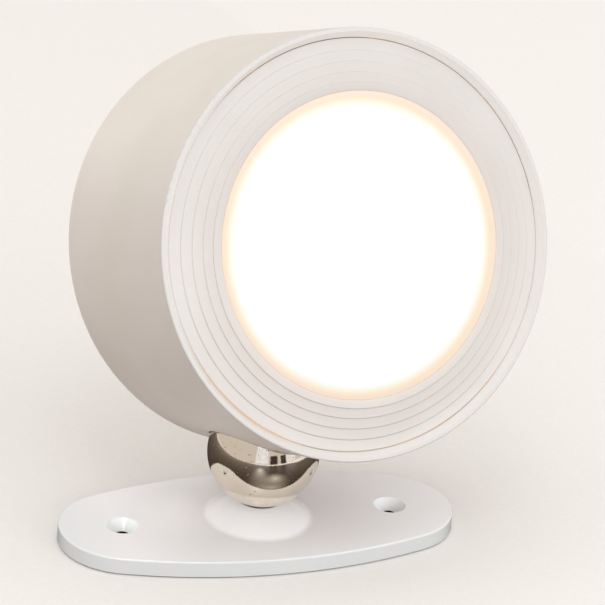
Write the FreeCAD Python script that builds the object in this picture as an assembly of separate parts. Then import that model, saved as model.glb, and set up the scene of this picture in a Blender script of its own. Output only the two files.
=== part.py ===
"""Pivoting spotlight wall light: a round rechargeable lamp head that sits magnetically on a
steel ball, which is screwed to an oval wall plate.  All sizes are in millimetres.

The object stands on the back of its wall plate: Z points out of the wall, X runs along the
plate, and the origin is the centre of the plate's back face.
"""
import math
import os

import FreeCAD
import Part

V = FreeCAD.Vector
ORIGIN, AXIS_X, AXIS_Y, AXIS_Z = V(0, 0, 0), V(1, 0, 0), V(0, 1, 0), V(0, 0, 1)

# ---- clearances
RUN = 0.08            # radial running clearance of a turning fit
GAP = 0.30            # free gap between neighbouring bodies
SEAM = 0.26           # gap around the bezel, where the housing's mouth meets it
EASE = 0.10           # gap between loosely laid pieces of one body

# ---- ball and wall plate
BALL_R = 12.70        # one-inch ball
BALL_Z = 20.12        # ball centre above the wall
PLATE_T = 3.70
PLATE_HALF_L = 46.25
PLATE_HALF_W = 20.65
PLATE_END_R = 15.60
PLATE_EDGE_R = 0.40
HUB_R = 12.00         # foot of the domed hub
HUB_SLOPE = 40        # degrees, how steeply the dome comes down to its foot
HUB_FOOT_R = 2.00     # hollow rounding where the dome meets the plate
HUB_DISH_R = 4.80     # ball's dish in the top of the hub
HUB_MID_R = 8.60      # a point of the dome's crown, with its height over the plate
HUB_MID_H = 2.50
HOLE_X = 31.75        # wall screws two and a half inches apart
HOLE_R = 1.65
SINK_R = 3.75         # mouth of the countersink
SINK_DEPTH = 2.40

# ---- ball's fixing screw
STUD_R = 2.00         # M4 thread
STUD_HEAD_R = 3.60
STUD_HEAD_H = 1.60
STUD_GRIP = 8.0       # length inside the ball
WASHER_R = 4.20
WASHER_T = 0.60
STUD_POCKET_R = 4.50
STUD_POCKET_H = 2.60

# ---- lamp head: front rim to back, its place on the ball, and its turn at rest
HEAD_R = 47.50
HEAD_DEPTH = 53.30
HEAD_WALL = 2.14
HEAD_BACK_R = 2.40
RIM_R = 0.40          # rounding of the outer front edge
RIM_FLAT = 1.00       # flat front of the rim
RIM_SLOPE = 1.60      # depth of the sloping inside of the rim
BALL_STANDOFF = 0.55  # ball centre outside the head's side
HEAD_RISE = HEAD_R + BALL_STANDOFF          # ball centre to the head's axis
BALL_SETBACK = 1.83   # ball centre behind the middle of the head's depth
BALL_STATION = HEAD_DEPTH / 2 + BALL_SETBACK  # front rim to the ball's centre
HEAD_INNER_R = HEAD_R - HEAD_WALL
HEAD_INNER_Y = HEAD_DEPTH - HEAD_WALL       # inside of the back
PAN_DEG, LEAN_DEG, TWIST_DEG = -31.10, 27.38, 37.38
SOCKET_GAP = 0.40     # between ball and moulded recess

# ---- magnetic seat, on the line from the ball to the head's axis
PAD_R = 8.20
PAD_WEB = 1.30        # pad's thickness over the ball
PAD_TOP = BALL_R + PAD_WEB
POT_WALL = 1.10
MAGNET_T = 4.00
POT_WEB = 1.60
POT_TOP = PAD_TOP + MAGNET_T + POT_WEB
BOSS_R = 15.60
RETAINER_T = 1.60
RETAINER_HOLE_R = 3.0
RETAINER_W = 13.0
RETAINER_SCREW_X = (PAD_R + BOSS_R) / 2

# ---- stepped bezel: each riser's distance in from the head's side, and its middle's
# height over the rim
RISERS = ((4.95, -1.12), (7.35, -0.50), (9.69, 0.05), (11.86, 0.47))
BEZEL_EDGE = -1.61    # height of the outer edge, at the seam
BEZEL_LIP = 0.60      # height of the inner edge, beside the diffuser
RISER_H = 0.26
RISER_W = 0.10
BEZEL_BACK = 2.00     # bezel's back face behind the rim
MOUTH_IN = 13.78      # opening for the diffuser, in from the head's side
MOUTH_R = HEAD_R - MOUTH_IN
HOOK_ANGLES = (0.0, 90.0, 180.0, 225.0, 315.0)
HOOK_W = 7.0
HOOK_T = 1.2
HOOK_CATCH = 0.8      # how far a hook reaches in behind the light frame
HOOK_EASE = 0.4

# ---- light box
DIFF_R = MOUTH_R - 0.14
DIFF_TOP = 0.62       # proud of the rim
DIFF_FLANGE_W = 2.68
DIFF_FLANGE_R = MOUTH_R + DIFF_FLANGE_W
DIFF_FLANGE_T = 1.10
DIFF_FLANGE_Y = BEZEL_BACK - DIFF_FLANGE_T
DIFF_EDGE_R = 0.35
FRAME_R = HEAD_INNER_R - 0.66
FRAME_BOX_R = DIFF_FLANGE_R + 0.5
FRAME_STANDOFF = 1.48 # light frame's back in front of the magnet boss
FRAME_BACK = BALL_STATION - BOSS_R - FRAME_STANDOFF
FRAME_WALL = 1.40
FRAME_FLOOR = 1.60
FRAME_FLOOR_Y = FRAME_BACK - FRAME_FLOOR
LEDBOARD_R = FRAME_BOX_R - 1.9
LEDBOARD_T = 1.60
LED_W = 2.8
LED_L = 3.5
LED_T = 0.75
LED_OUTER_R = 0.743 * LEDBOARD_R
LED_INNER_R = LED_OUTER_R / 2
LED_COUNT = 16        # in the outer ring, half as many in the inner one
WIRE_HOLE_R = 2.6
WIRE_HOLE_Z = 0.75 * LED_OUTER_R

# ---- self-tapping screws, all alike
TAP_R = 1.10
TAP_HEAD_R = 2.20
TAP_HEAD_H = 1.40
TAP_LEN = 6.0
PILOT_R = 1.12
POST_R = 3.0
POST_RING = HEAD_INNER_R - POST_R + 0.44   # posts grow out of the side wall
PILOT_IN = 0.60       # pilot holes sit a little inside the posts' middles
POST_ANGLES = (50.0, 130.0, 270.0)         # clear of the cell's ends

# ---- battery and control board
CELL_R = 9.20         # standard round cell
CELL_L = 65.0
CELL_EDGE_R = 0.80
CELL_REST = 0.96      # cell to the inside of the back
CELL_Y = HEAD_INNER_Y - CELL_R - CELL_REST
CELL_Z = HEAD_R / 3
TAB_T = 0.30
TAB_W = 8.0
CRADLE_W = 46.0
CRADLE_H = 13.0
CRADLE_LIP = 3.0
BOARD_L = 57.0
BOARD_W = 19.0
BOARD_T = 1.60
BOARD_STANDOFF = 3.56
BOARD_Z1 = CELL_Z - CELL_R - 0.6
BOARD_Z0 = BOARD_Z1 - BOARD_W
BOARD_CORNER_GAP = 0.45   # board's corner to the inside of the side wall
BOARD_X1 = math.sqrt((HEAD_INNER_R - BOARD_CORNER_GAP) ** 2 - BOARD_Z0 ** 2)
BOARD_X0 = BOARD_X1 - BOARD_L
BOARD_Y = HEAD_INNER_Y - BOARD_STANDOFF - BOARD_T
CHIP = 5.0            # side of the driver chip; the other parts are sized from it
USB_W = 9.0
USB_H = 3.2
USB_L = 7.4
BOARD_SCREW_IN = 3.6
BOARD_SCREW_X = (BOARD_X0 + BOARD_SCREW_IN, BOARD_X1 - USB_L - BOARD_SCREW_IN)
USB_Z = (BOARD_Z0 + BOARD_Z1) / 2
USB_Y = BOARD_Y - USB_H / 2
USB_INSET = 1.2
SLOT_EXTRA = 0.35
PLUG_W = 8.2
PLUG_H = 2.3
PLUG_DEEP = 6.2
TONGUE_W = 6.4
TONGUE_T = 0.70
FOIL_T = 0.20
FOIL_DEG = 26.0
FOIL_Y0 = HEAD_DEPTH / 3
FOIL_Y1 = HEAD_DEPTH * 2 / 3
LEAD_R = 0.65
LEAD_PITCH = 2.0
LEAD_TURN = 6.0       # how far a lead runs straight before it turns


def ring(points, about=AXIS_Y):
    """Turned solid from (radius, station) points, closed and spun about an axis."""
    if about is AXIS_Y:
        path = [V(r, s, 0) for r, s in points]
    else:
        path = [V(r, 0, s) for r, s in points]
    face = Part.Face(Part.makePolygon(path + path[:1]))
    return face.revolve(ORIGIN, about, 360)


def rod(radius, length, base, axis):
    return Part.makeCylinder(radius, length, base, axis)


def block(x0, x1, y0, y1, z0, z1):
    return Part.makeBox(x1 - x0, y1 - y0, z1 - z0, V(x0, y0, z0))


def spun(shape, angle_deg):
    """Copy of a lamp-head shape turned about the head's axis, from X towards Z."""
    copy = shape.copy()
    copy.rotate(ORIGIN, AXIS_Y, -angle_deg)
    return copy


def circle_edges(shape, radius, station, axis="y"):
    """Round edges of a given radius that lie at a given station along an axis."""
    found = []
    for edge in shape.Edges:
        curve = edge.Curve
        if isinstance(curve, Part.Circle) and abs(curve.Radius - radius) < 0.01:
            if abs(getattr(curve.Center, axis) - station) < 0.01:
                found.append(edge)
    return found


# ---------------------------------------------------------------- wall plate and ball
def plate_outline():
    """Oval of two end arcs and two long bulged sides, all tangent."""
    end_x = PLATE_HALF_L - PLATE_END_R
    end_y = PLATE_HALF_W - PLATE_END_R
    drop = (end_x ** 2 - end_y ** 2) / (2 * end_y)
    side_r = PLATE_HALF_W + drop
    reach = math.hypot(end_x, drop)
    tx, ty = side_r * end_x / reach, side_r * drop / reach - drop
    arcs = [Part.Arc(V(-tx, ty, 0), V(0, PLATE_HALF_W, 0), V(tx, ty, 0)),
            Part.Arc(V(tx, ty, 0), V(PLATE_HALF_L, 0, 0), V(tx, -ty, 0)),
            Part.Arc(V(tx, -ty, 0), V(0, -PLATE_HALF_W, 0), V(-tx, -ty, 0)),
            Part.Arc(V(-tx, -ty, 0), V(-PLATE_HALF_L, 0, 0), V(-tx, ty, 0))]
    return Part.Face(Part.Wire([arc.toShape() for arc in arcs]))


def hub():
    """Low dome under the ball: a hollow foot, a round crown and a dished top."""
    base = PLATE_T - PLATE_EDGE_R
    dish_r = BALL_R + RUN
    rim = V(HUB_DISH_R, 0, BALL_Z - math.sqrt(dish_r ** 2 - HUB_DISH_R ** 2))
    crown = V(HUB_MID_R, 0, PLATE_T + HUB_MID_H)
    slope = math.radians(HUB_SLOPE)
    reach = HUB_FOOT_R * math.tan(slope / 2)
    foot_in = V(HUB_R - reach * math.cos(slope), 0, PLATE_T + reach * math.sin(slope))
    foot_out = V(HUB_R + reach, 0, PLATE_T)
    foot_mid = V(foot_out.x - HUB_FOOT_R * math.sin(slope / 2), 0,
                 PLATE_T + HUB_FOOT_R * (1 - math.cos(slope / 2)))
    edges = [Part.makeLine(V(0, 0, base), V(foot_out.x, 0, base)),
             Part.makeLine(V(foot_out.x, 0, base), foot_out),
             Part.Arc(foot_out, foot_mid, foot_in).toShape(),
             Part.Arc(foot_in, crown, rim).toShape(),
             Part.makeLine(rim, V(0, 0, rim.z)),
             Part.makeLine(V(0, 0, rim.z), V(0, 0, base))]
    solid = Part.Face(Part.Wire(edges)).revolve(ORIGIN, AXIS_Z, 360)
    return solid.cut(Part.makeSphere(dish_r, V(0, 0, BALL_Z)))


def mounting_plate():
    """Oval screw-on plate with its hub, two countersunk holes and the stud's pocket."""
    plate = plate_outline().extrude(V(0, 0, PLATE_T))
    top_edges = [e for e in plate.Edges if all(abs(v.Z - PLATE_T) < 0.01 for v in e.Vertexes)]
    plate = plate.makeFillet(PLATE_EDGE_R, top_edges).fuse(hub()).removeSplitter()
    for x in (-HOLE_X, HOLE_X):
        drill = rod(HOLE_R, PLATE_T + 2, V(x, 0, -1), AXIS_Z)
        sink = Part.makeCone(HOLE_R, SINK_R, SINK_DEPTH, V(x, 0, PLATE_T - SINK_DEPTH), AXIS_Z)
        plate = plate.cut(drill).cut(sink)
    pocket = rod(STUD_POCKET_R, STUD_POCKET_H, ORIGIN, AXIS_Z)
    shaft = rod(STUD_R + RUN, BALL_Z, ORIGIN, AXIS_Z)
    return plate.cut(pocket).cut(shaft)


def steel_ball():
    """Plated ball with a blind tapped hole in its underside."""
    depth = STUD_GRIP + 1.0
    bottom = BALL_Z - BALL_R
    hole = rod(STUD_R, depth + 1, V(0, 0, bottom - 1), AXIS_Z)
    return Part.makeSphere(BALL_R, V(0, 0, BALL_Z)).cut(hole)


def stud_head_top():
    """Height of the seat under the screw's head, with the washer and its clearance above."""
    return STUD_POCKET_H - RUN - WASHER_T


def ball_washer():
    z = stud_head_top()
    disc = rod(WASHER_R, WASHER_T, V(0, 0, z), AXIS_Z)
    return disc.cut(rod(STUD_R, WASHER_T + 2, V(0, 0, z - 1), AXIS_Z))


def ball_screw():
    """Pan-head machine screw that holds the ball from behind the plate."""
    top = stud_head_top()
    head = rod(STUD_HEAD_R, STUD_HEAD_H, V(0, 0, top - STUD_HEAD_H), AXIS_Z)
    tip = BALL_Z - BALL_R + STUD_GRIP
    shaft = rod(STUD_R, tip - top + STUD_HEAD_H / 2, V(0, 0, top - STUD_HEAD_H / 2), AXIS_Z)
    screw = head.fuse(shaft).removeSplitter()
    slot = block(-STUD_HEAD_R * 0.55, STUD_HEAD_R * 0.55, -0.4, 0.4,
                 top - STUD_HEAD_H - 1, top - STUD_HEAD_H * 0.45)
    cross = slot.copy()
    cross.rotate(ORIGIN, AXIS_Z, 90)
    return screw.cut(slot).cut(cross)


# ---------------------------------------------------------------- magnetic seat
# These three are built with the ball's centre at the origin and Z towards the lamp head.
def seat_pad():
    """Slippery pad, hollowed to the ball, that the ball bears on."""
    body = rod(PAD_R, PAD_TOP - PAD_R / 2, V(0, 0, PAD_R / 2), AXIS_Z)
    return body.cut(Part.makeSphere(BALL_R + RUN, ORIGIN))


def magnet_pot():
    """Steel cup that carries the magnet's flux to the ball."""
    cup = rod(PAD_R, POT_TOP - PAD_TOP, V(0, 0, PAD_TOP), AXIS_Z)
    return cup.cut(rod(PAD_R - POT_WALL, MAGNET_T, V(0, 0, PAD_TOP), AXIS_Z))


def magnet():
    return rod(PAD_R - POT_WALL - EASE, MAGNET_T - EASE, V(0, 0, PAD_TOP), AXIS_Z)


# ---------------------------------------------------------------- lamp head
# Built with the head's axis on Y, the front rim at zero and Y running to the back.
def ball_place():
    return V(0, BALL_STATION, -HEAD_RISE)


def seat_boss_top():
    """Height of the seat boss over the head's axis (below it, so negative)."""
    return POT_TOP + GAP - HEAD_RISE


def wall_point(angle_deg, radius, y):
    a = math.radians(angle_deg)
    return V(radius * math.cos(a), y, radius * math.sin(a))


def slot_tool(width, height, x0, length):
    """Rounded slot running along X, centred on the charging socket."""
    y = USB_Y
    r = height / 2
    box = block(x0, x0 + length, y - r, y + r, USB_Z - width / 2 + r, USB_Z + width / 2 - r)
    low = rod(r, length, V(x0, y, USB_Z - width / 2 + r), AXIS_X)
    high = rod(r, length, V(x0, y, USB_Z + width / 2 - r), AXIS_X)
    return box.fuse([low, high]).removeSplitter()


def housing():
    """Moulded cup: side wall, back, ball recess with its magnet boss, and screw posts."""
    inner, back = HEAD_INNER_R, HEAD_INNER_Y
    outer = rod(HEAD_R, HEAD_DEPTH, ORIGIN, AXIS_Y)
    outer = outer.makeFillet(HEAD_BACK_R, circle_edges(outer, HEAD_R, HEAD_DEPTH))
    outer = outer.makeFillet(RIM_R, circle_edges(outer, HEAD_R, 0))
    cup = outer.cut(rod(inner, back + 1, V(0, -1, 0), AXIS_Y))
    cup = cup.cut(Part.makeCone(HEAD_R - RIM_FLAT, inner, RIM_SLOPE, ORIGIN, AXIS_Y))
    ball = ball_place()
    boss_h = HEAD_R
    boss = rod(BOSS_R, boss_h, V(0, ball.y, seat_boss_top() - boss_h), AXIS_Z)
    boss = boss.common(rod(inner + HEAD_WALL / 2, back, V(0, 0, 0), AXIS_Y))
    cup = cup.fuse([boss] + housing_posts(back)).removeSplitter()
    cup = cup.cut(Part.makeSphere(BALL_R + SOCKET_GAP, ball))
    cup = cup.cut(rod(PAD_R + RUN, HEAD_RISE, V(0, ball.y, ball.z + PAD_R / 2), AXIS_Z)
                  .common(rod(inner, HEAD_DEPTH, ORIGIN, AXIS_Y)))
    for tool in pilot_holes():
        cup = cup.cut(tool)
    slot = slot_tool(USB_W + 2 * SLOT_EXTRA, USB_H + 2 * SLOT_EXTRA, BOARD_X1, HEAD_R)
    return cup.cut(slot)


def housing_posts(back):
    """Posts for the light frame, the lowest one ending on the boss, and two for the board."""
    posts = []
    for angle in POST_ANGLES:
        length = BALL_STATION - FRAME_BACK if angle == 270.0 else back + 1 - FRAME_BACK
        posts.append(rod(POST_R, length, wall_point(angle, POST_RING, FRAME_BACK), AXIS_Y))
    for x, z in board_screw_places():
        y = BOARD_Y + BOARD_T
        posts.append(rod(POST_R, back + 1 - y, V(x, y, z), AXIS_Y))
    return posts


def board_screw_places():
    mid = (BOARD_Z0 + BOARD_Z1) / 2
    return [(x, mid) for x in BOARD_SCREW_X]


def frame_screw_places():
    return [wall_point(a, POST_RING - PILOT_IN, 0) for a in POST_ANGLES]


def retainer_screw_places():
    ball = ball_place()
    return [V(side * RETAINER_SCREW_X, ball.y, 0) for side in (-1, 1)]


def pilot_holes():
    tools = [rod(PILOT_R, TAP_LEN, V(p.x, FRAME_BACK - 1, p.z), AXIS_Y) for p in frame_screw_places()]
    tools += [rod(PILOT_R, TAP_LEN - BOARD_T + 1, V(x, BOARD_Y + BOARD_T - 1, z), AXIS_Y)
              for x, z in board_screw_places()]
    tools += [rod(PILOT_R, TAP_LEN + 1, V(p.x, p.y, seat_boss_top() - TAP_LEN), AXIS_Z)
              for p in retainer_screw_places()]
    return tools


def tapping_screws():
    """All self-tapping screws: three in the light frame, two in the board, two in the retainer."""
    places = [(V(p.x, FRAME_FLOOR_Y, p.z), AXIS_Y) for p in frame_screw_places()]
    places += [(V(x, BOARD_Y, z), AXIS_Y) for x, z in board_screw_places()]
    top = seat_boss_top() + RETAINER_T
    places += [(V(p.x, p.y, top), V(0, 0, -1)) for p in retainer_screw_places()]
    screws = []
    for seat, way in places:
        head = rod(TAP_HEAD_R, TAP_HEAD_H, seat - way * TAP_HEAD_H, way)
        shaft = rod(TAP_R, TAP_LEN, seat - way * (TAP_HEAD_H / 2), way)
        screws.append(head.fuse(shaft).removeSplitter())
    return Part.makeCompound(screws)


def magnet_retainer():
    """Strap that closes the magnet boss inside the head."""
    ball = ball_place()
    z = seat_boss_top()
    disc = rod(BOSS_R - 0.4, RETAINER_T, V(0, ball.y, z), AXIS_Z)
    disc = disc.cut(rod(RETAINER_HOLE_R, RETAINER_T + 2, V(0, ball.y, z - 1), AXIS_Z))
    half = RETAINER_W / 2
    strap = disc.common(block(-BOSS_R, BOSS_R, ball.y - half, ball.y + half, z, z + RETAINER_T))
    for p in retainer_screw_places():
        strap = strap.cut(rod(PILOT_R, RETAINER_T + 2, V(p.x, p.y, z - 1), AXIS_Z))
    return strap


def bezel_profile():
    """Section of the stepped front: sloping terraces that rise towards the diffuser."""
    outer = HEAD_INNER_R - SEAM
    points = [(outer, BEZEL_BACK), (outer, -BEZEL_EDGE)]
    for inset, height in RISERS:
        radius = HEAD_R - inset
        points += [(radius + RISER_W / 2, -height + RISER_H / 2), (radius - RISER_W / 2, -height - RISER_H / 2)]
    ledge = DIFF_FLANGE_Y - EASE
    points += [(MOUTH_R, -BEZEL_LIP), (MOUTH_R, ledge), (DIFF_FLANGE_R + EASE, ledge),
               (DIFF_FLANGE_R + EASE, BEZEL_BACK)]
    return points


def bezel_ring():
    """Stepped front ring with hooks that snap in behind the light frame."""
    body = ring(bezel_profile())
    hooks = []
    outer = HEAD_INNER_R - SEAM - HOOK_T
    catch = FRAME_BACK + EASE
    for angle in HOOK_ANGLES:
        tongue = block(outer - HOOK_T, outer, BEZEL_BACK - HOOK_T / 2, catch + HOOK_T, -HOOK_W / 2, HOOK_W / 2)
        barb = block(outer - HOOK_T - HOOK_CATCH, outer, catch, catch + HOOK_T, -HOOK_W / 2, HOOK_W / 2)
        hooks.append(spun(tongue.fuse(barb).removeSplitter(), angle))
    return body.fuse(hooks).removeSplitter()


def diffuser():
    """Opal disc that fills the bezel, with a flange held behind it."""
    y0 = -DIFF_TOP
    flange_y = DIFF_FLANGE_Y
    points = [(0, y0), (DIFF_R - DIFF_EDGE_R, y0), (DIFF_R, y0 + DIFF_EDGE_R), (DIFF_R, flange_y),
              (DIFF_FLANGE_R, flange_y), (DIFF_FLANGE_R, BEZEL_BACK), (0, BEZEL_BACK)]
    return ring(points)


def hook_notches():
    """Notches in the light frame's rim, where the bezel's hooks pass it."""
    inside = HEAD_INNER_R - SEAM - 2 * HOOK_T - EASE
    half = HOOK_W / 2 + HOOK_EASE
    tool = block(inside, HEAD_R, BEZEL_BACK, FRAME_BACK + 1, -half, half)
    return [spun(tool, angle) for angle in HOOK_ANGLES]


def light_frame():
    """White tray behind the diffuser: sloping reflective wall, floor and outer flange."""
    y0, floor = BEZEL_BACK + EASE, FRAME_FLOOR_Y
    flange = floor - FRAME_WALL / 3
    points = [(FRAME_BOX_R - FRAME_WALL, y0), (FRAME_BOX_R + FRAME_WALL, y0),
              (FRAME_BOX_R + FRAME_WALL, flange), (FRAME_R, flange), (FRAME_R, FRAME_BACK),
              (0, FRAME_BACK), (0, floor), (FRAME_BOX_R - FRAME_WALL / 3, floor)]
    tray = ring(points)
    for p in frame_screw_places():
        tray = tray.cut(rod(PILOT_R, FRAME_FLOOR + 2, V(p.x, floor - 1, p.z), AXIS_Y))
        tray = tray.cut(rod(TAP_HEAD_R + 0.4, 1, V(p.x, floor - 1, p.z), AXIS_Y))
    for tool in hook_notches():
        tray = tray.cut(tool)
    return tray.cut(rod(WIRE_HOLE_R, FRAME_FLOOR + 2, V(0, floor - 1, WIRE_HOLE_Z), AXIS_Y))


def led_board():
    y = FRAME_FLOOR_Y - LEDBOARD_T
    board = rod(LEDBOARD_R, LEDBOARD_T, V(0, y, 0), AXIS_Y)
    return board.cut(rod(WIRE_HOLE_R, LEDBOARD_T + 2, V(0, y - 1, WIRE_HOLE_Z), AXIS_Y))


def leds():
    """Surface-mounted LEDs in two rings on the board."""
    y = FRAME_FLOOR_Y - LEDBOARD_T - LED_T
    chip = block(-LED_W / 2, LED_W / 2, y, y + LED_T, -LED_L / 2, LED_L / 2)
    chips = []
    for radius, count in ((LED_OUTER_R, LED_COUNT), (LED_INNER_R, LED_COUNT // 2)):
        for i in range(count):
            one = chip.copy()
            one.translate(V(radius, 0, 0))
            chips.append(spun(one, (i + 0.5) * 360.0 / count))
    return Part.makeCompound(chips)


def battery_cell():
    """Round lithium cell lying across the head."""
    start = V(-CELL_L / 2, CELL_Y, CELL_Z)
    can = rod(CELL_R, CELL_L, start, AXIS_X)
    return can.makeFillet(CELL_EDGE_R, circle_edges(can, CELL_R, -CELL_L / 2, "x")
                          + circle_edges(can, CELL_R, CELL_L / 2, "x"))


def battery_tabs():
    """Welded nickel strips at both ends of the cell."""
    tabs = []
    for side in (-1, 1):
        x = side * (CELL_L / 2 + TAB_T / 2)
        tabs.append(block(x - TAB_T / 2, x + TAB_T / 2, CELL_Y - TAB_W / 2, CELL_Y + TAB_W / 2,
                          CELL_Z - CELL_R * 0.7, CELL_Z + TAB_W / 2))
    return Part.makeCompound(tabs)


def battery_cradle():
    """Saddle that beds the cell against the back of the head."""
    body = block(-CRADLE_W / 2, CRADLE_W / 2, CELL_Y + CRADLE_LIP, HEAD_INNER_Y,
                 CELL_Z - CRADLE_H / 2, CELL_Z + CRADLE_H / 2)
    return body.cut(rod(CELL_R + EASE, CRADLE_W + 2, V(-CRADLE_W / 2 - 1, CELL_Y, CELL_Z), AXIS_X))


def control_board():
    board = block(BOARD_X0, BOARD_X1, BOARD_Y, BOARD_Y + BOARD_T, BOARD_Z0, BOARD_Z1)
    for x, z in board_screw_places():
        board = board.cut(rod(PILOT_R, BOARD_T + 2, V(x, BOARD_Y - 1, z), AXIS_Y))
    return board


def board_components():
    """Charging chip, lamp driver, coil, capacitors and the touch controller.

    Each is placed by fractions of the board, and its width, length and height by the chip.
    """
    parts = ((0.19, 0.26, 1.0, 0.8, 0.3), (0.33, 0.71, 1.2, 1.0, 0.32), (0.49, 0.26, 1.3, 1.3, 0.6),
             (0.49, 0.76, 0.64, 0.32, 0.24), (0.61, 0.58, 0.8, 0.8, 0.28), (0.68, 0.79, 0.4, 0.24, 0.16),
             (0.19, 0.74, 0.6, 0.6, 0.2), (0.63, 0.21, 0.64, 0.52, 0.36))
    chips = []
    for along, up, w, d, h in parts:
        x, z = BOARD_X0 + along * BOARD_L, BOARD_Z0 + up * BOARD_W
        chips.append(block(x - w * CHIP / 2, x + w * CHIP / 2, BOARD_Y - h * CHIP, BOARD_Y,
                           z - d * CHIP / 2, z + d * CHIP / 2))
    return Part.makeCompound(chips)


def charging_socket():
    """Metal-shelled charging socket at the board's edge, open towards the housing's slot."""
    x1 = BOARD_X1 + USB_INSET
    shell = slot_tool(USB_W, USB_H - 0.02, x1 - USB_L, USB_L)
    return shell.cut(slot_tool(PLUG_W, PLUG_H, x1 - PLUG_DEEP, HEAD_R))


def socket_tongue():
    """Contact tongue inside the charging socket."""
    x1 = BOARD_X1 + USB_INSET
    return block(x1 - PLUG_DEEP, x1 - USB_INSET, USB_Y - TONGUE_T / 2, USB_Y + TONGUE_T / 2,
                 USB_Z - TONGUE_W / 2, USB_Z + TONGUE_W / 2)


def touch_foil():
    """Copper foil stuck inside the top of the wall, the lamp's touch switch."""
    outer = HEAD_INNER_R - EASE
    foil = ring([(outer - FOIL_T, FOIL_Y0), (outer, FOIL_Y0), (outer, FOIL_Y1), (outer - FOIL_T, FOIL_Y1)])
    half = outer * math.sin(math.radians(FOIL_DEG / 2))
    return foil.common(block(-half, half, FOIL_Y0, FOIL_Y1, 0, HEAD_R))


def lead(points):
    """Insulated wire through a row of points."""
    curve = Part.BSplineCurve()
    curve.interpolate([V(*p) for p in points])
    path = Part.Wire(curve.toShape())
    start = curve.parameter(V(*points[0]))
    way = curve.tangent(start)[0]
    loop = Part.Wire(Part.Circle(V(*points[0]), way, LEAD_R).toShape())
    return path.makePipeShell([loop], True, True)


def battery_leads():
    """Two leads from the cell's tabs down to pads near the board's upper edge."""
    pad_y = BOARD_Y - LEAD_R - EASE
    pad_z = BOARD_Z1 - LEAD_TURN / 2
    edge = CELL_L / 2 + TAB_T + LEAD_R + EASE
    wires = []
    for side in (-1, 1):
        pad_x = BOARD_X0 + LEAD_TURN * 0.75 + side * LEAD_PITCH
        wires.append(lead([
            (side * edge, CELL_Y - LEAD_PITCH, CELL_Z),
            (side * edge, CELL_Y - LEAD_TURN, CELL_Z - 2 * LEAD_TURN),
            (side * edge * 0.62, CELL_Y - CELL_R - LEAD_TURN / 2, CELL_Z - 2 * LEAD_TURN),
            (pad_x + side * LEAD_TURN, CELL_Y - LEAD_TURN, pad_z + LEAD_PITCH / 2),
            (pad_x, pad_y, pad_z)]))
    return Part.makeCompound(wires)


def led_leads():
    """Two leads from the board through the light frame to the LED board."""
    pad_y = BOARD_Y - LEAD_R - EASE
    middle_y = (FRAME_BACK + BOARD_Y) / 2
    wires = []
    for side in (-1, 1):
        x = side * LEAD_PITCH / 2
        pad_x = BOARD_X0 + LEAD_TURN + side * LEAD_PITCH / 2
        wires.append(lead([
            (x, FRAME_FLOOR_Y + LEAD_R, WIRE_HOLE_Z), (x, FRAME_BACK + LEAD_TURN, WIRE_HOLE_Z),
            (x * 3, middle_y, WIRE_HOLE_Z / 4), (pad_x, BOARD_Y - LEAD_TURN, BOARD_Z0 + LEAD_TURN / 2),
            (pad_x, pad_y, BOARD_Z0 + LEAD_R + LEAD_PITCH)]))
    return Part.makeCompound(wires)


# ---------------------------------------------------------------- assembly
def head_turn():
    """Turn of the lamp head at rest: panned, leaned back and twisted on the ball."""
    pan = FreeCAD.Rotation(AXIS_Z, PAN_DEG)
    lean = FreeCAD.Rotation(AXIS_X, -LEAN_DEG)
    twist = FreeCAD.Rotation(AXIS_Z, TWIST_DEG)
    return pan * lean * twist


def on_ball(shape):
    """Seat shapes, built about the ball's centre, moved to their place at rest."""
    placed = shape.copy()
    placed.Placement = FreeCAD.Placement(V(0, 0, BALL_Z), head_turn()) * placed.Placement
    return placed


def in_head(shape):
    """Lamp-head shapes, built about the head's own axis, moved to their place at rest."""
    shifted = shape.copy()
    shifted.Placement = FreeCAD.Placement(-ball_place(), FreeCAD.Rotation()) * shifted.Placement
    return on_ball(shifted)


def main():
    os.makedirs("parts", exist_ok=True)
    fixed = {"mounting_plate": mounting_plate(), "steel_ball": steel_ball(),
             "ball_washer": ball_washer(), "ball_screw": ball_screw()}
    seat = {"seat_pad": seat_pad(), "magnet_pot": magnet_pot(), "magnet": magnet()}
    head = {"housing": housing(), "bezel_ring": bezel_ring(), "diffuser": diffuser(),
            "light_frame": light_frame(), "led_board": led_board(), "leds": leds(),
            "magnet_retainer": magnet_retainer(), "tapping_screws": tapping_screws(),
            "battery_cell": battery_cell(), "battery_tabs": battery_tabs(),
            "battery_cradle": battery_cradle(), "control_board": control_board(),
            "board_components": board_components(), "charging_socket": charging_socket(),
            "socket_tongue": socket_tongue(), "touch_foil": touch_foil(),
            "battery_leads": battery_leads(), "led_leads": led_leads()}
    shapes = dict(fixed)
    shapes.update({name: on_ball(shape) for name, shape in seat.items()})
    shapes.update({name: in_head(shape) for name, shape in head.items()})
    for name, shape in shapes.items():
        shape.exportStep("parts/" + name + ".step")
        box = shape.BoundBox
        print(name, shape.isValid(), len(shape.Solids), round(shape.Volume, 1),
              [round(v, 1) for v in (box.XMin, box.XMax, box.YMin, box.YMax, box.ZMin, box.ZMax)])


main()
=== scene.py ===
import math

import bpy
from mathutils import Matrix, Vector


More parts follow.
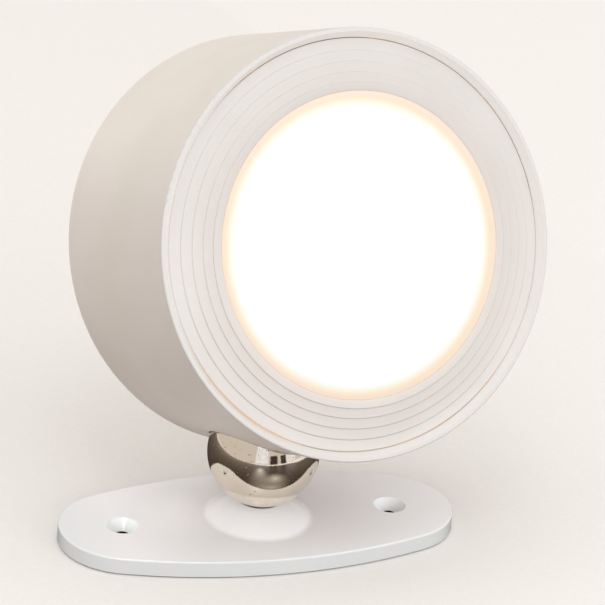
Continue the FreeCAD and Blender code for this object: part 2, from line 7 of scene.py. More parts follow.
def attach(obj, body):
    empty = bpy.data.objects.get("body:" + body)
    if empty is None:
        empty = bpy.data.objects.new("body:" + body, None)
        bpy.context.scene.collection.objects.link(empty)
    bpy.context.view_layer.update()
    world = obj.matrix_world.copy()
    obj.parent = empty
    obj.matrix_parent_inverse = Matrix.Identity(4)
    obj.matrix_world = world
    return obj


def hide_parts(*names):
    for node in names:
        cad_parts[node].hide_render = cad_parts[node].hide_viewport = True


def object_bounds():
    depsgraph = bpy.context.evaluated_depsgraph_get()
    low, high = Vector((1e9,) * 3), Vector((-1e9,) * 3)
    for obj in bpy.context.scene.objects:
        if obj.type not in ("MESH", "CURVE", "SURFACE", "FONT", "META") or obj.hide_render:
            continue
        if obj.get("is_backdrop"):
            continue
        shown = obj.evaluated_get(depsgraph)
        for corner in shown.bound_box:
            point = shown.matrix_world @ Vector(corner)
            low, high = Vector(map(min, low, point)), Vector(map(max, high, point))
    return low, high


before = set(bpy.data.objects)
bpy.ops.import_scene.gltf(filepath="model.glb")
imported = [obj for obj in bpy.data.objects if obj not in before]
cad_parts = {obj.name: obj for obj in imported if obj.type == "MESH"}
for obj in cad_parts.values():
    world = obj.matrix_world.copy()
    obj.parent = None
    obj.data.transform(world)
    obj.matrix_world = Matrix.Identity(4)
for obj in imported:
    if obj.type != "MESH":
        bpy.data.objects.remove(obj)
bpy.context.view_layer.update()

# ---- Camera
# The lamp is seen from the left and above, from about six times its own height away,
# with a long lens, so the round face keeps its shape.
eye = bpy.data.cameras.new("eye")
eye.sensor_width = 36.0
eye.lens = 182.84
eye.clip_start, eye.clip_end = 0.05, 20.0
camera = bpy.data.objects.new("camera", eye)
camera.location = (-0.19853, -0.58332, 0.33872)
camera.rotation_euler = [math.radians(a) for a in (65.3914, -4.6336, -17.2148)]
bpy.context.collection.objects.link(camera)
bpy.context.scene.camera = camera
bpy.context.scene.view_settings.view_transform = "Standard"


# ---- Lamps of the studio
# Five square soft boxes about a metre away, four of them low and one higher at the right, and a
# smaller one overhead.  Only the small one shows as a glint in shiny surfaces; the others stand
# behind white sheets, which look like the wall.
LAMP_MIDDLE = (0, 0, 0.06)
GLINT_WIDTH = 0.5


def softbox(name, place, width, watts):
    """Square white area lamp that looks at the middle of the light."""
    lamp = bpy.data.lights.new(name, "AREA")
    lamp.shape, lamp.size, lamp.size_y = "RECTANGLE", width, width
    lamp.energy = watts
    holder = bpy.data.objects.new(name, lamp)
    holder.location = place
    holder.rotation_euler = (Vector(LAMP_MIDDLE) - Vector(place)).to_track_quat("-Z", "Y").to_euler()
    holder.visible_glossy = width < GLINT_WIDTH
    bpy.context.collection.objects.link(holder)


softbox("back_left_softbox", (-0.928, 0.544, 0.289), 0.6, 0.25)
softbox("left_softbox", (-1.014, -0.361, 0.289), 0.6, 0.70)
softbox("front_softbox", (-0.375, -1.008, 0.289), 0.6, 1.75)
softbox("front_right_softbox", (0.531, -0.935, 0.289), 0.6, 2.21)
softbox("right_softbox", (0.790, -0.294, 0.767), 0.6, 0.81)
softbox("overhead_softbox", (-0.156, -0.419, 1.065), 0.26, 0.5)


# ---- Walls and air of the studio
# A pale room: what the camera and shiny surfaces see of it is pale, and the light that it
# throws on the lamp is a weak even fill.
def linear(hex_colour):
    """sRGB hex to a linear colour with an alpha of 1."""
    parts = [int(hex_colour[i:i + 2], 16) / 255 for i in (1, 3, 5)]
    return tuple(p / 12.92 if p <= 0.04045 else ((p + 0.055) / 1.055) ** 2.4 for p in parts) + (1.0,)


def add(tree, kind, settings=None, inputs=None, stops=()):
    """Adds a node, sets its options, sets or links its inputs, and places a ramp's colours."""
    node = tree.nodes.new(kind)
    for key, value in (settings or {}).items():
        setattr(node, key, value)
    for key, value in (inputs or {}).items():
        if isinstance(value, bpy.types.NodeSocket):
            tree.links.new(value, node.inputs[key])
        else:
            node.inputs[key].default_value = value
    for i, (where, colour) in enumerate(stops):
        spot = node.color_ramp.elements[i] if i < 2 else node.color_ramp.elements.new(where)
        spot.position, spot.color = where, linear(colour)
    return node


def seen_directly(tree):
    """1 for what the camera, a mirror or clear glass shows, 0 for light that falls on things."""
    path = add(tree, "ShaderNodeLightPath")
    both = add(tree, "ShaderNodeMath", {"operation": "MAXIMUM"},
               {0: path.outputs["Is Camera Ray"], 1: path.outputs["Is Glossy Ray"]})
    return add(tree, "ShaderNodeMath", {"operation": "MAXIMUM"},
               {0: both.outputs[0], 1: path.outputs["Is Transmission Ray"]}).outputs[0]


world = bpy.data.worlds.new("studio")
bpy.context.scene.world = world
world.use_nodes = True
tree = world.node_tree
tree.nodes.clear()
air = add(tree, "ShaderNodeBackground", inputs={"Color": linear("#FFFCF8"), "Strength": 1.0})
wall = add(tree, "ShaderNodeBackground", inputs={"Color": linear("#F0E8E0"), "Strength": 0.85})
room = add(tree, "ShaderNodeMixShader", inputs={0: seen_directly(tree), 1: air.outputs[0],
                                                2: wall.outputs[0]})
add(tree, "ShaderNodeOutputWorld", inputs={"Surface": room.outputs[0]})


# ---- Floor
# Pale matt paper.  It throws back less light than it shows, as a small sheet on a dark table
# would, so the underside of the lamp stays shaded.
def finish_material(name):
    """New material with an empty tree."""
    material = bpy.data.materials.new(name)
    material.use_nodes = True
    material.node_tree.nodes.clear()
    return material, material.node_tree


bpy.ops.object.select_all(action="DESELECT")
bpy.ops.mesh.primitive_plane_add(size=6.0, location=(0, 0, -0.0003))
bpy.ops.object.transform_apply(location=True, rotation=False, scale=False)
floor = bpy.context.active_object
floor.name = "floor"
floor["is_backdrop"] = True
floor_finish, tree = finish_material("pale paper, matt")
place = add(tree, "ShaderNodeTexCoord").outputs["Object"]
FIBRES_PER_METRE = 900.0
fibre = add(tree, "ShaderNodeTexNoise", inputs={"Vector": place, "Scale": FIBRES_PER_METRE,
                                                "Detail": 3.0})
shade = add(tree, "ShaderNodeValToRGB", inputs={"Fac": fibre.outputs["Fac"]},
            stops=((0.0, "#EAE7E4"), (1.0, "#F0EEEC")))
paper = add(tree, "ShaderNodeBsdfPrincipled", inputs={"Base Color": shade.outputs[0], "Roughness": 0.9})
dull = add(tree, "ShaderNodeBsdfPrincipled", inputs={"Base Color": linear("#948A82"), "Roughness": 0.9})
sheet = add(tree, "ShaderNodeMixShader",
            inputs={0: seen_directly(tree), 1: dull.outputs[0], 2: paper.outputs[0]})
add(tree, "ShaderNodeOutputMaterial", inputs={"Surface": sheet.outputs[0]})
floor.data.materials.append(floor_finish)


# ---- Dark board and card on the floor
# A long dark board under the lamp, which only polished surfaces show, gives the ball its dark
# band; it is paler towards its left end, and three paler patches in front of the plate are
# painted highlights that stand in for light on its satin varnish.
# A small black card behind the plate, seen in its two screw holes, is a sheet of painted shade
# that stands for the shade inside them.
def only_mirrored(piece):
    """Hides a piece from all but shiny surfaces."""
    piece.visible_camera = piece.visible_diffuse = False
    piece.visible_transmission = piece.visible_shadow = False


BOARD_SIZE = (1.23, 0.28, 1.0)
BOARD_MIDDLE = (-0.335, -0.0275, -0.0002)
BOARD_TURN = math.radians(13)
bpy.ops.object.select_all(action="DESELECT")
bpy.ops.mesh.primitive_plane_add(size=1.0, location=BOARD_MIDDLE, scale=BOARD_SIZE)
bpy.ops.object.transform_apply(location=True, rotation=False, scale=True)
table_card = bpy.context.active_object
table_card.name = "dark_table_board"
table_card.rotation_euler[2] = BOARD_TURN
bpy.ops.object.transform_apply(location=False, rotation=True, scale=False)
table_card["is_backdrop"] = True
board_finish, tree = finish_material("dark wood board, satin varnish")
place = add(tree, "ShaderNodeTexCoord").outputs["Object"]
fleck = add(tree, "ShaderNodeTexNoise", inputs={"Vector": place, "Scale": 1 / 0.0025, "Detail": 2.0})
shade = add(tree, "ShaderNodeValToRGB", inputs={"Fac": fleck.outputs["Fac"]},
            stops=((0.0, "#3A2A1E"), (1.0, "#45352A"))).outputs[0]
along = add(tree, "ShaderNodeSeparateXYZ", inputs={0: place})
away = add(tree, "ShaderNodeMapRange", inputs={"Value": along.outputs["X"], "From Min": -0.50,
                                               "From Max": -0.12, "To Min": 0.8, "To Max": 0.0})
shade = add(tree, "ShaderNodeMixRGB", inputs={0: away.outputs[0], 1: shade,
                                              2: linear("#85776A")}).outputs[0]
# Painted highlights: three paler round patches, where light would shine on the varnish.
for middle, angle, reach, how in (((-0.040, -0.100, 0), -113, (0.125, 0.024, 0.1), 0.92),
                                  ((0.005, -0.047, 0), -85, (0.036, 0.024, 0.1), 0.8),
                                  ((0.001, -0.026, 0), 0, (0.020, 0.009, 0.1), 0.5)):
    local = add(tree, "ShaderNodeMapping", {"vector_type": "TEXTURE"},
                {"Vector": place, "Location": middle, "Rotation": (0, 0, math.radians(angle)),
                 "Scale": reach})
    spot = add(tree, "ShaderNodeTexGradient", {"gradient_type": "QUADRATIC_SPHERE"},
               {"Vector": local.outputs[0]})
    painted_highlight = add(tree, "ShaderNodeMath", {"operation": "MULTIPLY"}, {0: spot.outputs["Fac"], 1: how})
    shade = add(tree, "ShaderNodeMixRGB", inputs={0: painted_highlight.outputs[0], 1: shade,
                                                  2: linear("#EEE8E2")}).outputs[0]
wood = add(tree, "ShaderNodeBsdfPrincipled", inputs={"Base Color": shade, "Roughness": 0.40,
                                                     "Specular IOR Level": 0.22})
add(tree, "ShaderNodeOutputMaterial", inputs={"Surface": wood.outputs[0]})
table_card.data.materials.append(board_finish)
only_mirrored(table_card)
# The card is painted shade: black in the screw holes, where the shade inside them falls.
CARD_R = 0.0395
CARD_FLAT = 0.36
bpy.ops.object.select_all(action="DESELECT")
bpy.ops.mesh.primitive_circle_add(vertices=64, radius=CARD_R, fill_type="NGON",
                                  location=(0, 0, -0.0001))
hole_card = bpy.context.active_object
hole_card.name = "hole_shade_card"
hole_card.scale = (1.0, CARD_FLAT, 1.0)
bpy.ops.object.transform_apply(location=True, rotation=False, scale=True)
hole_card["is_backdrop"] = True
black_finish, tree = finish_material("black flocked card, painted shade in the holes")
place = add(tree, "ShaderNodeTexCoord").outputs["Object"]
flock = add(tree, "ShaderNodeTexNoise", inputs={"Vector": place, "Scale": 1 / 0.0004, "Detail": 2.0})
shade = add(tree, "ShaderNodeValToRGB", inputs={"Fac": flock.outputs["Fac"]},
            stops=((0.0, "#0C0A09"), (1.0, "#181412")))
black = add(tree, "ShaderNodeBsdfPrincipled", inputs={"Base Color": shade.outputs[0], "Roughness": 1.0,
                                                      "Specular IOR Level": 0.0})
add(tree, "ShaderNodeOutputMaterial", inputs={"Surface": black.outputs[0]})
hole_card.data.materials.append(black_finish)

# ---- Boxes and sheets across the room
# Two upholstered boxes two metres away and two lit white sheets behind them, which only shiny
# surfaces show: they make the skyline of the ball's picture of the room.  The cloth's weave is
# too fine to show at that distance, so it is drawn as broad patches.
BOX_AWAY = 2.3
BOX_DEEP = 0.3
SHEET_AWAY = 2.75
SHEET_THICK = 0.02
SHEET_H = 2.6
SHEET_RISE = 1.38
cloth_finish, tree = finish_material("brown cloth, woven")
place = add(tree, "ShaderNodeTexCoord").outputs["Object"]
weave = add(tree, "ShaderNodeTexNoise", inputs={"Vector": place, "Scale": 1 / 0.05, "Detail": 4.0})
shade = add(tree, "ShaderNodeValToRGB", inputs={"Fac": weave.outputs["Fac"]},
            stops=((0.3, "#2E2620"), (0.7, "#5E5248")))
cloth = add(tree, "ShaderNodeBsdfPrincipled", inputs={"Base Color": shade.outputs[0], "Roughness": 0.9})
add(tree, "ShaderNodeOutputMaterial", inputs={"Surface": cloth.outputs[0]})
for turn, width, height in ((-86, 0.60, 0.70), (-66.5, 0.44, 0.66)):
    bpy.ops.object.select_all(action="DESELECT")
    bpy.ops.mesh.primitive_cube_add(size=1.0, location=(0, 0, 0), scale=(BOX_DEEP, width, height))
    bpy.ops.object.transform_apply(location=True, rotation=True, scale=True)
    box = bpy.context.active_object
    box.name = "far_box"
    bpy.ops.object.mode_set(mode="EDIT")
    bpy.ops.mesh.select_all(action="SELECT")
    bpy.ops.mesh.bevel(offset=0.06, segments=4, affect="EDGES")
    bpy.ops.object.mode_set(mode="OBJECT")
    turn = math.radians(turn)
    box.rotation_euler[2] = turn
    box.location = (BOX_AWAY * math.cos(turn), BOX_AWAY * math.sin(turn), height / 2)
    bpy.ops.object.transform_apply(location=True, rotation=True, scale=True)
    box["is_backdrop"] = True
    box.data.materials.append(cloth_finish)
    only_mirrored(box)
sheet_finish, tree = finish_material("white sheet, lit from behind")
place = add(tree, "ShaderNodeTexCoord").outputs["Object"]
fold = add(tree, "ShaderNodeTexNoise", inputs={"Vector": place, "Scale": 1 / 0.4, "Detail": 3.0})
shade = add(tree, "ShaderNodeValToRGB", inputs={"Fac": fold.outputs["Fac"]},
            stops=((0.35, "#DEE1EC"), (0.65, "#F4F8FF")))
lit = add(tree, "ShaderNodeEmission", inputs={"Color": shade.outputs[0], "Strength": 1.2})
add(tree, "ShaderNodeOutputMaterial", inputs={"Surface": lit.outputs[0]})
for turn, width in ((-110, 1.25), (-50, 0.95)):
    bpy.ops.object.select_all(action="DESELECT")
    bpy.ops.mesh.primitive_cube_add(size=1.0, location=(0, 0, 0), scale=(SHEET_THICK, width, SHEET_H))
    bpy.ops.object.transform_apply(location=True, rotation=True, scale=True)
    sheet = bpy.context.active_object
    sheet.name = "far_sheet"
    turn = math.radians(turn)
    sheet.rotation_euler[2] = turn
    sheet.location = (SHEET_AWAY * math.cos(turn), SHEET_AWAY * math.sin(turn), SHEET_RISE)
    bpy.ops.object.transform_apply(location=True, rotation=True, scale=True)
    sheet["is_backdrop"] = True
    sheet.data.materials.append(sheet_finish)
    only_mirrored(sheet)

# ---- Strip light
# A narrow lit panel in front, at the left, forty to sixty degrees up, which only shiny surfaces
# show: it makes the bright streaks in the screw holes and a glint on the ball.
STRIP_SIZE = (0.13, 0.44, 0.01)
STRIP_PLACE = (-0.37, -0.64, 0.92)
strip_finish, tree = finish_material("frosted cover over a strip light")
place = add(tree, "ShaderNodeTexCoord").outputs["Object"]
frost = add(tree, "ShaderNodeTexNoise", inputs={"Vector": place, "Scale": 1 / 0.02, "Detail": 2.0})
shade = add(tree, "ShaderNodeValToRGB", inputs={"Fac": frost.outputs["Fac"]},
            stops=((0.3, "#F4F2EE"), (0.7, "#FFFFFF")))
lit = add(tree, "ShaderNodeEmission", inputs={"Color": shade.outputs[0], "Strength": 9.0})
add(tree, "ShaderNodeOutputMaterial", inputs={"Surface": lit.outputs[0]})
bpy.ops.object.select_all(action="DESELECT")
bpy.ops.mesh.primitive_cube_add(size=1.0, location=(0, 0, 0), scale=STRIP_SIZE)
bpy.ops.object.transform_apply(location=True, rotation=True, scale=True)
strip = bpy.context.active_object
strip.name = "strip_light"
strip.location = STRIP_PLACE
strip.rotation_euler = (Vector(LAMP_MIDDLE) - strip.location).to_track_quat("-Z", "Y").to_euler()
bpy.ops.object.transform_apply(location=True, rotation=True, scale=True)
strip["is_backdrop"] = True
strip.data.materials.append(strip_finish)
only_mirrored(strip)


# ---- Wall plate
# An oval plate of white ABS, injection moulded in a finely eroded mould, with a low dome under
# the ball and two countersunk holes.  Satin, so lamps show as a soft sheen on the dome.  Painted
# shade greys its edge, its left end and a spot at the front left, and blackens the bores low
# down; a painted shadow rings the ball's foot in dark brown, and painted light brightens a spot
# left of the dome.
def moulded(name, pale, shaded, roughness, grain=0.00035, depth=0.000012, swing=0.05):
    """Moulded plastic: clouds of two near colours, uneven gloss, and the grain of the mould.

    The real grain is too fine to show, so it is drawn a few times coarser."""
    material, tree = finish_material(name)
    place = add(tree, "ShaderNodeTexCoord").outputs["Object"]
    cloud = add(tree, "ShaderNodeTexNoise", inputs={"Vector": place, "Scale": 1 / 0.018, "Detail": 3.0})
    colour = add(tree, "ShaderNodeValToRGB", {"name": "colour"}, {"Fac": cloud.outputs["Fac"]},
                 ((0.3, shaded), (0.7, pale)))
    fine = add(tree, "ShaderNodeTexNoise", inputs={"Vector": place, "Scale": 1 / grain, "Detail": 2.0})
    gloss = add(tree, "ShaderNodeMapRange", inputs={"Value": fine.outputs["Fac"],
                                                    "To Min": roughness - swing,
                                                    "To Max": roughness + swing})
    bump = add(tree, "ShaderNodeBump", inputs={"Height": fine.outputs["Fac"], "Distance": depth,
                                               "Strength": 1.0})
    body = add(tree, "ShaderNodeBsdfPrincipled", {"name": "body"},
               {"Base Color": colour.outputs[0], "Roughness": gloss.outputs[0],
                "Normal": bump.outputs[0], "IOR": 1.53})
    add(tree, "ShaderNodeOutputMaterial", inputs={"Surface": body.outputs[0]})
    return material, tree


def dress(name, material):
    """Gives a CAD node its finish."""
    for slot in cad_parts[name].material_slots:
        slot.material = material


PLATE_TOP = 0.0037
HOLE_X = 0.03175
BORE_R = 0.00175
BORE_TOP = 0.0013
SINK_R = 0.0039
FOOT_SHADOW_R = 0.0050
LIP = 0.00016
LIT_SPOT = (-0.0160, 0.0030, PLATE_TOP)
SHADE_SPOT = (-0.0110, -0.0170, PLATE_TOP)
plate_finish, tree = moulded("white ABS, moulded satin", "#FBFAFD", "#F9F8FB", 0.24, grain=0.0009,
                             depth=0.000001, swing=0.01)
place = add(tree, "ShaderNodeTexCoord").outputs["Object"]
parts = add(tree, "ShaderNodeSeparateXYZ", inputs={0: place})
mirror = add(tree, "ShaderNodeMath", {"operation": "ABSOLUTE"}, {0: parts.outputs["X"]})
across = add(tree, "ShaderNodeMath", {"operation": "SUBTRACT"}, {0: mirror.outputs[0], 1: HOLE_X})
beside = add(tree, "ShaderNodeCombineXYZ", inputs={0: across.outputs[0], 1: parts.outputs["Y"]})
from_hole = add(tree, "ShaderNodeVectorMath", {"operation": "LENGTH"}, {0: beside.outputs[0]})
side = add(tree, "ShaderNodeMapRange", inputs={"Value": parts.outputs["Z"], "From Min": PLATE_TOP - LIP,
                                               "From Max": PLATE_TOP, "To Min": 1.0, "To Max": 0.0})
# Painted light: the top is a shade darker except in the sinks and round a lit spot left of the dome.
by_ball = add(tree, "ShaderNodeVectorMath", {"operation": "DISTANCE"}, {0: place, 1: LIT_SPOT})
painted_shade_mask = add(tree, "ShaderNodeMapRange", inputs={"Value": by_ball.outputs["Value"], "From Min": 0.0040,
                                                "From Max": 0.0120})
outside_sinks = add(tree, "ShaderNodeMapRange", inputs={"Value": from_hole.outputs["Value"],
                                                "From Min": SINK_R - 0.0005, "From Max": SINK_R})
painted_shade_mask = add(tree, "ShaderNodeMath", {"operation": "MULTIPLY"},
            {0: painted_shade_mask.outputs[0], 1: outside_sinks.outputs[0]})
even = add(tree, "ShaderNodeMixRGB", {"blend_type": "MULTIPLY"},
           {0: painted_shade_mask.outputs[0], 1: tree.nodes["colour"].outputs[0], 2: linear("#F7F7F7")})
# Painted shade: a little darker round a spot at the front left, off the edge.
by_front = add(tree, "ShaderNodeVectorMath", {"operation": "DISTANCE"}, {0: place, 1: SHADE_SPOT})
dull = add(tree, "ShaderNodeMapRange", inputs={"Value": by_front.outputs["Value"], "From Min": 0.0060,
                                               "From Max": 0.0190, "To Min": 1.0, "To Max": 0.0})
dull = add(tree, "ShaderNodeMath", {"operation": "SUBTRACT"}, {0: dull.outputs[0], 1: side.outputs[0]})
even = add(tree, "ShaderNodeMixRGB", {"blend_type": "MULTIPLY"},
           {0: dull.outputs[0], 1: even.outputs[0], 2: linear("#F9F9F8")})
# Painted shade: the rounded top edge, outside the sinks, and the left end are a little darker and
# cooler.
outer = add(tree, "ShaderNodeMath", {"operation": "MULTIPLY"},
            {0: side.outputs[0], 1: outside_sinks.outputs[0]})
edge_and_end_shade = add(tree, "ShaderNodeMixRGB", {"blend_type": "MULTIPLY"},
             {0: outer.outputs[0], 1: even.outputs[0], 2: linear("#EFF4F4")})
far = add(tree, "ShaderNodeMapRange", inputs={"Value": parts.outputs["X"], "From Min": -0.0440,
                                              "From Max": -0.0330, "To Min": 1.0, "To Max": 0.0})
end = add(tree, "ShaderNodeMath", {"operation": "SUBTRACT"}, {0: far.outputs[0], 1: side.outputs[0]})
edge_and_end_shade = add(tree, "ShaderNodeMixRGB", {"blend_type": "MULTIPLY"},
             {0: end.outputs[0], 1: edge_and_end_shade.outputs[0], 2: linear("#F2F5F6")})
flat = add(tree, "ShaderNodeVectorMath", {"operation": "MULTIPLY"}, {0: place, 1: (1.0, 1.0, 0.0)})
from_ball = add(tree, "ShaderNodeVectorMath", {"operation": "LENGTH"}, {0: flat.outputs[0]})
# Painted shadow: a thin dark brown ring where the ball sits in the dome.
foot_shadow = add(tree, "ShaderNodeMapRange", inputs={"Value": from_ball.outputs["Value"],
                                                "From Min": FOOT_SHADOW_R, "From Max": FOOT_SHADOW_R + 0.00025,
                                                "To Min": 1.0, "To Max": 0.0})
ringed = add(tree, "ShaderNodeMixRGB", inputs={0: foot_shadow.outputs[0], 1: edge_and_end_shade.outputs[0],
                                               2: linear("#54381C")})
sunk = add(tree, "ShaderNodeMath", {"operation": "SUBTRACT"}, {0: 1.0, 1: outside_sinks.outputs[0]})
ringed = add(tree, "ShaderNodeMixRGB", {"blend_type": "MULTIPLY"},
             {0: sunk.outputs[0], 1: ringed.outputs[0], 2: linear("#F5FBFA")})
# Painted shade: the bore wall is near black below its top, deep in the hole.
bore = add(tree, "ShaderNodeMapRange", inputs={"Value": from_hole.outputs["Value"], "From Min": BORE_R,
                                               "From Max": BORE_R + 0.0001, "To Min": 1.0,
                                               "To Max": 0.0})
deep = add(tree, "ShaderNodeMapRange", inputs={"Value": parts.outputs["Z"],
                                               "From Min": BORE_TOP - 0.00012, "From Max": BORE_TOP,
                                               "To Min": 1.0, "To Max": 0.0})
edge = add(tree, "ShaderNodeMath", {"operation": "MULTIPLY"}, {0: bore.outputs[0], 1: deep.outputs[0]})
shaded_colour = add(tree, "ShaderNodeMixRGB", inputs={0: edge.outputs[0], 1: ringed.outputs[0],
                                             2: linear("#14100D")})
tree.links.new(shaded_colour.outputs[0], tree.nodes["body"].inputs["Base Color"])
dress("mounting_plate", plate_finish)

# ---- Ball
# A one-inch steel ball, turned, ground and nickel plated over a polish that was not perfect:
# a mirror with a warm tint, a slight waviness and scattered pits and specks.  Its tapped hole
# takes the machine screw from behind the plate.
BALL_R = 0.0127
BALL_Z = 0.02012
THREAD_R = 0.0020
INSIDE = 0.97
THREAD_DEPTH = 0.0090
WAVE_LENGTH = 0.0011
PIT_SPACING = 0.0022
SPECK_SPACING = 0.0007
bpy.ops.object.select_all(action="DESELECT")
bpy.ops.mesh.primitive_uv_sphere_add(segments=192, ring_count=96, radius=BALL_R,
                                     location=(0, 0, BALL_Z))
ball = bpy.context.active_object
ball.name = "plated_ball"
bpy.ops.object.transform_apply(location=True, rotation=False, scale=False)
bpy.ops.object.mode_set(mode="EDIT")
bpy.ops.mesh.select_all(action="DESELECT")
bpy.ops.object.mode_set(mode="OBJECT")
for face in ball.data.polygons:
    x, y, z = face.center
    face.select = z < BALL_Z and math.hypot(x, y) < THREAD_R * INSIDE
bpy.ops.object.mode_set(mode="EDIT")
bpy.ops.mesh.delete(type="FACE")
bpy.ops.mesh.select_mode(type="EDGE")
bpy.ops.mesh.select_non_manifold()
bpy.ops.mesh.extrude_edges_move(TRANSFORM_OT_translate={"value": (0, 0, THREAD_DEPTH)})
bpy.ops.mesh.edge_face_add()
bpy.ops.mesh.select_all(action="SELECT")
bpy.ops.mesh.normals_make_consistent(inside=False)
bpy.ops.object.mode_set(mode="OBJECT")
bpy.ops.object.shade_smooth_by_angle(angle=math.radians(40))
ball_finish, tree = finish_material("nickel-plated steel, polished")
place = add(tree, "ShaderNodeTexCoord").outputs["Object"]
wave = add(tree, "ShaderNodeTexNoise", inputs={"Vector": place, "Scale": 1 / WAVE_LENGTH, "Detail": 6.0,
                                               "Roughness": 0.7})
pits = add(tree, "ShaderNodeTexVoronoi", {"feature": "F1"},
           {"Vector": place, "Scale": 1 / PIT_SPACING, "Randomness": 1.0})
size = add(tree, "ShaderNodeTexNoise", inputs={"Vector": place, "Scale": 1 / 0.0030, "Detail": 1.0})
rim = add(tree, "ShaderNodeMapRange", inputs={"Value": size.outputs["Fac"], "From Min": 0.45,
                                              "From Max": 0.75, "To Min": 0.0, "To Max": 0.12})
specks = add(tree, "ShaderNodeTexVoronoi", {"feature": "F1"},
             {"Vector": place, "Scale": 1 / SPECK_SPACING, "Randomness": 1.0})
patch = add(tree, "ShaderNodeMapRange", inputs={"Value": wave.outputs["Fac"], "From Min": 0.44,
                                                "From Max": 0.66, "To Min": 0.0, "To Max": 0.24})
small = add(tree, "ShaderNodeMath", {"operation": "SUBTRACT"},
            {0: patch.outputs[0], 1: specks.outputs["Distance"]})
large = add(tree, "ShaderNodeMath", {"operation": "SUBTRACT"},
            {0: rim.outputs[0], 1: pits.outputs["Distance"]})
deep = add(tree, "ShaderNodeMath", {"operation": "MAXIMUM"}, {0: small.outputs[0], 1: large.outputs[0]})
pitted = add(tree, "ShaderNodeMapRange", inputs={"Value": deep.outputs[0], "From Min": -0.02,
                                                 "From Max": 0.03})
colour = add(tree, "ShaderNodeValToRGB", inputs={"Fac": pitted.outputs[0]},
             stops=((0.0, "#E4DACB"), (1.0, "#7C6A58")))
gloss = add(tree, "ShaderNodeMapRange", inputs={"Value": pitted.outputs[0], "To Min": 0.045,
                                                "To Max": 0.35})
waves = add(tree, "ShaderNodeBump", inputs={"Height": wave.outputs["Fac"], "Distance": 0.000008,
                                            "Strength": 1.0})
holes = add(tree, "ShaderNodeBump", inputs={"Height": pitted.outputs[0], "Distance": -0.00004,
                                            "Strength": 1.0, "Normal": waves.outputs[0]})
metal = add(tree, "ShaderNodeBsdfPrincipled", inputs={"Base Color": colour.outputs[0], "Metallic": 1.0,
                                                      "Roughness": gloss.outputs[0],
                                                      "Normal": holes.outputs[0]})
add(tree, "ShaderNodeOutputMaterial", inputs={"Surface": metal.outputs[0]})
ball.data.materials.append(ball_finish)
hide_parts("steel_ball")
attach(ball, "ball")


# ---- Ball's screw and washer
# Zinc-plated steel: an M4 pan-head screw, cold headed, and a stamped washer.  They sit in the
# hollow behind the plate's dome, out of sight, and hold the ball to it.
def plated(name, pale, dark, roughness, grain):
    """Plated or rolled metal: crystals in two tones, drawn coarser than life so that they show."""
    material, tree = finish_material(name)
    place = add(tree, "ShaderNodeTexCoord").outputs["Object"]
    crystal = add(tree, "ShaderNodeTexVoronoi", {"feature": "F1"},
                  {"Vector": place, "Scale": 1 / grain})
    colour = add(tree, "ShaderNodeValToRGB", inputs={"Fac": crystal.outputs["Distance"]},
                 stops=((0.0, pale), (1.0, dark)))
    gloss = add(tree, "ShaderNodeMapRange", inputs={"Value": crystal.outputs["Distance"],
                                                    "To Min": roughness, "To Max": roughness + 0.15})
    metal = add(tree, "ShaderNodeBsdfPrincipled", inputs={"Base Color": colour.outputs[0],
                                                          "Metallic": 1.0,
                                                          "Roughness": gloss.outputs[0]})
    add(tree, "ShaderNodeOutputMaterial", inputs={"Surface": metal.outputs[0]})
    return material


zinc = plated("zinc-plated steel, bright", "#C9CCCF", "#A9AEB4", 0.28, 0.0006)
dress("ball_screw", zinc)
dress("ball_washer", zinc)
dress("tapping_screws", zinc)

# ---- Magnetic seat
# A black acetal pad that the ball slides on, a mild steel cup behind it, and a neodymium disc
# magnet, nickel plated.
pad_finish, tree = moulded("black acetal, moulded", "#24242A", "#1D1D20", 0.45)
dress("seat_pad", pad_finish)
dress("magnet_pot", zinc)
dress("magnet", plated("nickel-plated magnet, bright", "#D8D3CA", "#C2BBB0", 0.18, 0.0008))

# ---- Lamp head's housing
# A deep cup of warm white ABS, injection moulded with a fine matt grain; the front rim is
# turned in by a sloping shoulder, and the charging slot is in its right side.  The slope is
# painted with light: a glow, strongest at the left and top, and an orange tint at the lower
# left by the seam.  Painted shade greys the front face and slope, and darkens the side towards
# the front and round most of its turn.
mm = 0.001
HEAD_TURN = [math.radians(a) for a in (-31.10, -27.38, 37.38)]
HEAD_RISE = 48.05 * mm
BALL_STATION = 28.48 * mm
head_place = (Matrix.Translation((0, 0, BALL_Z))
              @ Matrix.Rotation(HEAD_TURN[0], 4, "Z")
              @ Matrix.Rotation(HEAD_TURN[1], 4, "X")
              @ Matrix.Rotation(HEAD_TURN[2], 4, "Z")
              @ Matrix.Translation((0, -BALL_STATION, HEAD_RISE))
              @ Matrix.Rotation(math.radians(90), 4, "X"))
into_head = head_place.inverted()


def about_head(tree, shift=(0, 0, 0)):
    """Distance from the head's axis, height over its face, and turn (0.5 right, 0.75 top)."""
    place = add(tree, "ShaderNodeTexCoord").outputs["Object"]
    local = add(tree, "ShaderNodeMapping", inputs={"Vector": place, "Rotation": into_head.to_euler(),
                                                   "Location": into_head.translation + Vector(shift)})
    flat = add(tree, "ShaderNodeVectorMath", {"operation": "MULTIPLY"},
               {0: local.outputs[0], 1: (1.0, 1.0, 0.0)})
    radius = add(tree, "ShaderNodeVectorMath", {"operation": "LENGTH"}, {0: flat.outputs[0]})
    height = add(tree, "ShaderNodeSeparateXYZ", inputs={0: local.outputs[0]})
    turn = add(tree, "ShaderNodeTexGradient", {"gradient_type": "RADIAL"}, {"Vector": local.outputs[0]})
    return radius.outputs["Value"], height.outputs["Z"], turn.outputs["Fac"]


